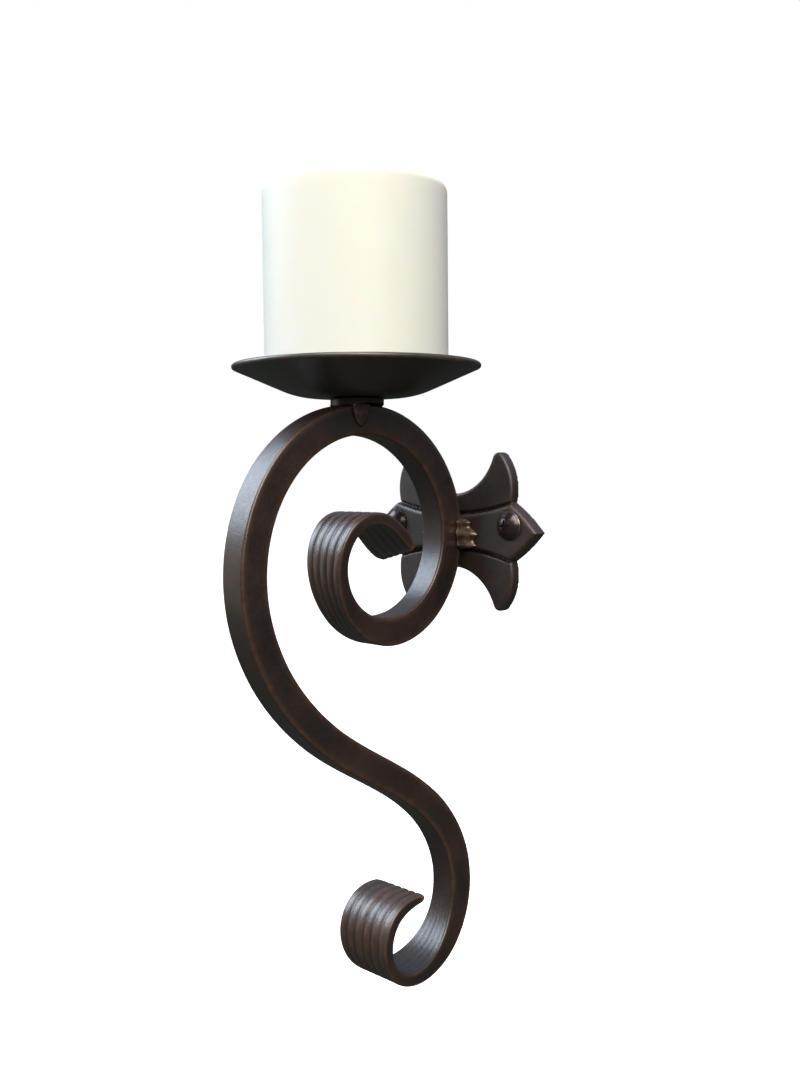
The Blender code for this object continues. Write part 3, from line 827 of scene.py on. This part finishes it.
collar_low, collar_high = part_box("pan_collar")
pan_axis = ((collar_low.x + collar_high.x) / 2, (collar_low.y + collar_high.y) / 2)
collar_radius = (collar_high.x - collar_low.x) / 2
PRICKET_HOLE_RADIUS = 3.5 * MM
COLLAR_SADDLE = 1.5 * MM  # how far its underside is dressed down towards the bar at front and back
collar_profile = divided(rounded([
    (PRICKET_HOLE_RADIUS, collar_low.z),
    (collar_radius, collar_low.z),
    (collar_radius, collar_high.z),
    (PRICKET_HOLE_RADIUS, collar_high.z),
], 0.5 * MM), 0.6 * MM)
pan_collar = turn("punched_pan_collar", collar_profile, ROUND_SEGMENTS, (*pan_axis, 0), bar_iron)
for vertex in pan_collar.data.vertices:
    rise = (vertex.co.z - collar_low.z) / (collar_high.z - collar_low.z)
    vertex.co.z -= (1 - rise) * COLLAR_SADDLE * ((vertex.co.y - pan_axis[1]) / collar_radius) ** 2
forge(pan_collar, bar_iron, 0.12 * MM, 4 * MM, 31)
mark_wear_and_highlight(pan_collar, 0.25 * MM, 5)
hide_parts("pan_collar")
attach(pan_collar, "bracket")


# ---------------------------------------------------------------- candle pan
# A shallow dish dapped from one disc of sheet iron, with a flat floor, a straight side and a filed rim. It
# is held down on the collar by the weld round the pricket's shank.

pan_low, pan_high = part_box("candle_pan")
pan_radius = (pan_high.x - pan_low.x) / 2
PAN_SHEET = 2.4 * MM
PAN_FLOOR_RADIUS = 24.0 * MM
PAN_BEND = 7.0 * MM
pan_rise = pan_high.z - pan_low.z
rim_radius = PAN_SHEET / 2
tilt = math.degrees(math.atan2(pan_rise - PAN_SHEET, pan_radius - PAN_FLOOR_RADIUS))
rim = arc((pan_radius - rim_radius, pan_high.z - rim_radius), rim_radius, tilt - 90, tilt + 90, 12)


def bend_between(first, corner, last, reach, steps=8):
    """Replace the sharp corner of a run with a smooth bend."""
    start = Vector(corner) + (Vector(first) - Vector(corner)).normalized() * reach
    end = Vector(corner) + (Vector(last) - Vector(corner)).normalized() * reach
    points = []
    for step in range(steps + 1):
        part = step / steps
        middle = Vector(corner) * 2 * part * (1 - part)
        points.append(tuple(start * (1 - part) ** 2 + middle + end * part ** 2))
    return points


pan_floor = pan_low.z + PAN_SHEET
under_bend = bend_between((0, pan_low.z), (PAN_FLOOR_RADIUS, pan_low.z), rim[0], PAN_BEND)
inner_bend = bend_between(rim[-1], (PAN_FLOOR_RADIUS, pan_floor), (0, pan_floor), PAN_BEND)
pan_profile = [(PRICKET_HOLE_RADIUS, pan_low.z)] + under_bend + rim + inner_bend
pan_profile.append((PRICKET_HOLE_RADIUS, pan_floor))
pan_iron = iron("Sheet iron of the pan", (0.019, 0.020, 0.014, 1), (0.034, 0.032, 0.022, 1),
                (0.13, 0.085, 0.058, 1), 0.38, 0.7, blotch=34 * MM, grain=0.9 * MM, bump=0.06 * MM)
pan_profile = divided(pan_profile, 1.1 * MM)
candle_pan = turn("dished_candle_pan", pan_profile, ROUND_SEGMENTS, (*pan_axis, 0), pan_iron)
forge(candle_pan, pan_iron, 0.22 * MM, 21 * MM, 41)
mark_wear_and_highlight(candle_pan, 0.22 * MM, 6)
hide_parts("candle_pan")
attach(candle_pan, "bracket")


# ---------------------------------------------------------------- pricket
# A spike drawn down from round bar. Its shank goes through pan and collar and is welded to the crown of the
# ring, and its point holds the candle upright.

spike_low, spike_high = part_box("candle_spike")
spike_radius = (spike_high.x - spike_low.x) / 2
spike_profile = divided(rounded([
    (0.0, spike_low.z),
    (spike_radius, spike_low.z),
    (spike_radius, pan_floor + spike_radius),
    (0.35 * MM, spike_high.z - 0.4 * MM),
    (0.0, spike_high.z),
], 0.4 * MM), 1.0 * MM)
candle_spike = turn("drawn_candle_spike", spike_profile, 64, (*pan_axis, 0), pan_iron)
forge(candle_spike, pan_iron, 0.15 * MM, 6 * MM, 51)
mark_wear_and_highlight(candle_spike, 0.25 * MM, 4)
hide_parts("candle_spike")
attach(candle_spike, "bracket")


# ---------------------------------------------------------------- candle
# A moulded ivory pillar of paraffin wax with a rounded shoulder. It is hollow underneath where the pricket
# enters, and stands on the pan's sloping side. Wax lets light in a little way, which softens its shading.

candle_low, candle_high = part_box("candle_body")
candle_radius = (candle_high.x - candle_low.x) / 2
SHOULDER_RADIUS = 3.0 * MM
SOCKET_RADIUS = 3.8 * MM
SOCKET_DEPTH = 40.0 * MM
WICK_HOLE_RADIUS = 1.5 * MM
WICK_DIP = 1.6 * MM  # the wax sinks a little round the wick as it sets


def wax():
    """Ivory paraffin: faint clouding and setting marks over a translucent body."""
    made = bpy.data.materials.new("Ivory wax")
    made.use_nodes = True
    tree = made.node_tree
    shader = tree.nodes["Principled BSDF"]
    place = add(tree, "ShaderNodeTexCoord").outputs["Object"]
    stretched = add(tree, "ShaderNodeMapping", {"Vector": place, "Scale": (1.0, 1.0, 0.35)}).outputs[0]
    cloud = add(tree, "ShaderNodeTexNoise", {"Vector": stretched, "Scale": 42.0, "Detail": 3.0}).outputs[0]
    grain = add(tree, "ShaderNodeTexNoise", {"Vector": place, "Scale": 700.0, "Detail": 3.0}).outputs[0]
    pits = add(tree, "ShaderNodeTexVoronoi", {"Vector": place, "Scale": 330.0}).outputs["Distance"]
    pit = add(tree, "ShaderNodeMapRange", {"Value": pits, "From Min": 0.02, "From Max": 0.16}).outputs[0]
    colour = add(tree, "ShaderNodeMix", {0: cloud, 6: (0.94, 0.89, 0.76, 1), 7: (0.97, 0.95, 0.87, 1)},
                 data_type="RGBA").outputs[2]
    rough = add(tree, "ShaderNodeMapRange", {"Value": grain, "To Min": 0.40, "To Max": 0.62}).outputs[0]
    fine = calculate(tree, "MULTIPLY", grain, 0.3)
    coarse = calculate(tree, "MULTIPLY", pit, 0.7)
    height = calculate(tree, "ADD", fine, coarse)
    bump = add(tree, "ShaderNodeBump", {"Height": height, "Strength": 0.25, "Distance": 0.08 * MM})
    tree.links.new(colour, shader.inputs["Base Color"])
    tree.links.new(rough, shader.inputs["Roughness"])
    tree.links.new(bump.outputs["Normal"], shader.inputs["Normal"])
    shader.inputs["Subsurface Weight"].default_value = 0.35
    shader.inputs["Subsurface Radius"].default_value = (1.0, 0.7, 0.4)
    shader.inputs["Subsurface Scale"].default_value = 5 * MM
    shader.inputs["IOR"].default_value = 1.43
    return made


ivory_wax = wax()
shoulder_centre = (candle_radius - SHOULDER_RADIUS, candle_high.z - SHOULDER_RADIUS)
candle_profile = [
    (SOCKET_RADIUS + 0.8 * MM, candle_low.z),
    (candle_radius - 1.0 * MM, candle_low.z),
    (candle_radius - 0.3 * MM, candle_low.z + 0.3 * MM),
    (candle_radius, candle_low.z + 1.0 * MM),
]
candle_profile += arc(shoulder_centre, SHOULDER_RADIUS, 0, 90, 10)
candle_profile += [
    (10 * MM, candle_high.z - 0.15 * MM),
    (4 * MM, candle_high.z - 0.7 * MM),
    (WICK_HOLE_RADIUS, candle_high.z - WICK_DIP),
    (WICK_HOLE_RADIUS, candle_low.z + SOCKET_DEPTH),
    (SOCKET_RADIUS, candle_low.z + SOCKET_DEPTH),
    (SOCKET_RADIUS, candle_low.z + 0.8 * MM),
]
candle_body = turn("moulded_candle", divided(candle_profile, 1.6 * MM), 192, (*pan_axis, 0), ivory_wax)
forge(candle_body, ivory_wax, 0.16 * MM, 30 * MM, 61)
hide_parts("candle_body")
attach(candle_body, "candle")


# ---------------------------------------------------------------- wick
# Three cotton strands twisted together and dipped in wax, cast into the candle. It hasn't been lit, so it
# is still white and trimmed square.

wick_low, wick_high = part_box("candle_wick")
STRAND_RADIUS = 0.60 * MM
STRAND_ORBIT = 0.55 * MM
TWIST_PITCH = 5.5 * MM


def twisted_wick_tree():
    """Geometry nodes that twist equal strands round one another."""
    tree = bpy.data.node_groups.new("Twisted Wick", "GeometryNodeTree")
    tree.interface.new_socket("Geometry", in_out="INPUT", socket_type="NodeSocketGeometry")
    tree.interface.new_socket("Strands", in_out="INPUT", socket_type="NodeSocketInt")
    for name in ("Strand Radius", "Orbit", "Pitch", "Length"):
        tree.interface.new_socket(name, in_out="INPUT", socket_type="NodeSocketFloat")
    tree.interface.new_socket("Finish", in_out="INPUT", socket_type="NodeSocketMaterial")
    tree.interface.new_socket("Geometry", in_out="OUTPUT", socket_type="NodeSocketGeometry")
    given = add(tree, "NodeGroupInput").outputs
    turns = calculate(tree, "DIVIDE", given["Length"], given["Pitch"])
    helix = add(tree, "GeometryNodeCurveSpiral", {
        "Resolution": 24,
        "Rotations": turns,
        "Start Radius": given["Orbit"],
        "End Radius": given["Orbit"],
        "Height": given["Length"],
    })
    starts = add(tree, "GeometryNodePoints", {"Count": given["Strands"]})
    index = add(tree, "GeometryNodeInputIndex").outputs[0]
    share = calculate(tree, "DIVIDE", calculate(tree, "MULTIPLY", index, math.tau), given["Strands"])
    turned = add(tree, "ShaderNodeCombineXYZ", {"Z": share})
    strands = add(tree, "GeometryNodeInstanceOnPoints", {
        "Points": starts.outputs[0],
        "Instance": helix.outputs[0],
        "Rotation": turned.outputs[0],
    })
    real = add(tree, "GeometryNodeRealizeInstances", {"Geometry": strands.outputs[0]})
    section = add(tree, "GeometryNodeCurvePrimitiveCircle", {
        "Resolution": 12,
        "Radius": given["Strand Radius"],
    })
    cord = add(tree, "GeometryNodeCurveToMesh", {
        "Curve": real.outputs[0],
        "Profile Curve": section.outputs[0],
        "Fill Caps": True,
    })
    smooth = add(tree, "GeometryNodeSetShadeSmooth", {"Geometry": cord.outputs[0]})
    faced = add(tree, "GeometryNodeSetMaterial", {"Geometry": smooth.outputs[0], "Material": given["Finish"]})
    add(tree, "NodeGroupOutput", {"Geometry": faced.outputs[0]})
    return tree


def waxed_cotton():
    """Cotton yarn: fine fibres along the strands, dulled by wax."""
    made = bpy.data.materials.new("Waxed cotton")
    made.use_nodes = True
    tree = made.node_tree
    shader = tree.nodes["Principled BSDF"]
    place = add(tree, "ShaderNodeTexCoord").outputs["Object"]
    drawn = add(tree, "ShaderNodeMapping", {"Vector": place, "Scale": (1.0, 1.0, 0.2)}).outputs[0]
    fibre = add(tree, "ShaderNodeTexNoise", {"Vector": drawn, "Scale": 5200.0, "Detail": 2.0}).outputs[0]
    colour = add(tree, "ShaderNodeMix", {0: fibre, 6: (0.62, 0.57, 0.46, 1), 7: (0.93, 0.91, 0.86, 1)},
                 data_type="RGBA").outputs[2]
    bump = add(tree, "ShaderNodeBump", {"Height": fibre, "Strength": 0.6, "Distance": 0.1 * MM})
    rough = add(tree, "ShaderNodeMapRange", {"Value": fibre, "To Min": 0.7, "To Max": 0.95}).outputs[0]
    tree.links.new(colour, shader.inputs["Base Color"])
    tree.links.new(rough, shader.inputs["Roughness"])
    tree.links.new(bump.outputs["Normal"], shader.inputs["Normal"])
    return made


wick_start = bmesh.new()
wick = object_from("twisted_wick", wick_start)
run_tree(wick, twisted_wick_tree(), {
    "Strands": 3,
    "Strand Radius": STRAND_RADIUS,
    "Orbit": STRAND_ORBIT,
    "Pitch": TWIST_PITCH,
    "Length": wick_high.z - wick_low.z - 2 * STRAND_RADIUS,
    "Finish": waxed_cotton(),
})
for vertex in wick.data.vertices:
    vertex.co += Vector((*pan_axis, wick_low.z + STRAND_RADIUS))
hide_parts("candle_wick")
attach(wick, "candle")


# ---------------------------------------------------------------- studio
# A pale floor well below the holder, a bright open studio, a large cool window and a faint low one on the
# left, a soft light overhead, a warm fill on the right, and the camera on the right at the plate's height.

FLOOR_DROP = 0.16
FLOOR_BOUNCE = (0.05, 0.05, 0.035, 1)  # how dark the floor is to everything but the camera
CAMERA_PLACE = (0.3399, -0.3738, 0.0263)
CAMERA_TURN = math.radians(45.35)
CAMERA_DIP = math.radians(3.14)
CAMERA_ROLL = math.radians(-0.60)
CAMERA_LENS = 37.9


def floor_paint():
    """Matt white paint, washed out to pure white where the camera sees it."""
    made = bpy.data.materials.new("Pale studio floor")
    made.use_nodes = True
    tree = made.node_tree
    shader = tree.nodes["Principled BSDF"]
    place = add(tree, "ShaderNodeTexCoord").outputs["Object"]
    tone = add(tree, "ShaderNodeTexNoise", {"Vector": place, "Scale": 3.0}).outputs[0]
    spread = add(tree, "ShaderNodeMapRange", {"Value": tone, "To Min": 0.8, "To Max": 1.0}).outputs[0]
    seen = add(tree, "ShaderNodeLightPath").outputs["Is Camera Ray"]
    paint = add(tree, "ShaderNodeMix", {0: seen, 6: FLOOR_BOUNCE, 7: (0.9, 0.9, 0.9, 1)},
                data_type="RGBA").outputs[2]
    tree.links.new(paint, shader.inputs["Base Color"])
    tree.links.new(spread, shader.inputs["Roughness"])
    tree.links.new(seen, shader.inputs["Emission Strength"])
    shader.inputs["Emission Color"].default_value = (1, 1, 1, 1)
    return made


def floor_mesh(height, half_side):
    """A level floor with its face up."""
    mesh = bmesh.new()
    corners = [(-1, -1), (1, -1), (1, 1), (-1, 1)]
    mesh.faces.new([mesh.verts.new((x * half_side, y * half_side, height)) for x, y in corners])
    return object_from("studio_floor", mesh, floor_paint())


def softbox(name, place, target, size, power, colour):
    """A square area light aimed at a target."""
    light = bpy.data.lights.new(name, "AREA")
    light.shape = "SQUARE"
    light.size = size
    light.energy = power
    light.color = colour
    made = bpy.data.objects.new(name, light)
    made.location = place
    made.rotation_mode = "QUATERNION"
    made.rotation_quaternion = (Vector(target) - Vector(place)).to_track_quat("-Z", "Y")
    bpy.context.scene.collection.objects.link(made)


def open_studio():
    """A world that is white behind the holder, and a pale sky over dark ground in what the iron reflects."""
    world = bpy.data.worlds.new("Studio")
    world.use_nodes = True
    tree = world.node_tree
    tree.nodes.clear()
    seen = add(tree, "ShaderNodeLightPath").outputs["Is Camera Ray"]
    aim = add(tree, "ShaderNodeTexCoord").outputs["Generated"]
    height = add(tree, "ShaderNodeSeparateXYZ", {"Vector": aim}).outputs["Z"]
    rise = add(tree, "ShaderNodeMapRange", {"Value": height, "From Min": -1.0, "From Max": 1.0}).outputs[0]
    shades = add(tree, "ShaderNodeValToRGB", {"Fac": rise})
    ramp = shades.color_ramp
    ramp.elements[0].position = 0.30
    ramp.elements[0].color = (0.016, 0.016, 0.009, 1)
    ramp.elements[1].position = 1.0
    ramp.elements[1].color = (0.50, 0.60, 0.78, 1)
    horizon = ramp.elements.new(0.52)
    horizon.color = (0.085, 0.080, 0.060, 1)
    haze = ramp.elements.new(0.66)
    haze.color = (0.24, 0.28, 0.36, 1)
    room = add(tree, "ShaderNodeBackground", {"Color": shades.outputs[0], "Strength": 0.9})
    white = add(tree, "ShaderNodeBackground", {"Color": (1, 1, 1, 1), "Strength": 1.0})
    mixed = add(tree, "ShaderNodeMixShader", {0: seen, 1: room.outputs[0], 2: white.outputs[0]})
    add(tree, "ShaderNodeOutputWorld", {"Surface": mixed.outputs[0]})
    bpy.context.scene.world = world


floor_mesh(cad_low.z - FLOOR_DROP, 6.0)
open_studio()
middle = (cad_low + cad_high) / 2
softbox("cool window", (-1.25, -0.75, 1.0), middle, 1.1, 27, (0.74, 0.86, 1.0))
softbox("low window", (-1.3, -0.7, 0.1), middle, 0.9, 1.5, (1.0, 0.93, 0.80))
softbox("overhead", (0.5, -0.8, 1.4), middle, 1.0, 18, (1.0, 0.98, 0.93))
softbox("warm fill", (1.2, -0.7, 0.8), middle, 0.9, 15, (1.0, 0.95, 0.88))

camera_data = bpy.data.cameras.new("Camera")
camera_data.lens = CAMERA_LENS
camera = bpy.data.objects.new("Camera", camera_data)
camera.location = CAMERA_PLACE
ahead = Vector((-math.sin(CAMERA_TURN), math.cos(CAMERA_TURN), -math.tan(CAMERA_DIP)))
camera.rotation_mode = "QUATERNION"
camera.rotation_quaternion = ahead.to_track_quat("-Z", "Y") @ Quaternion((0, 0, 1), CAMERA_ROLL)
bpy.context.scene.collection.objects.link(camera)
bpy.context.scene.camera = camera
bpy.context.scene.view_settings.view_transform = "Standard"
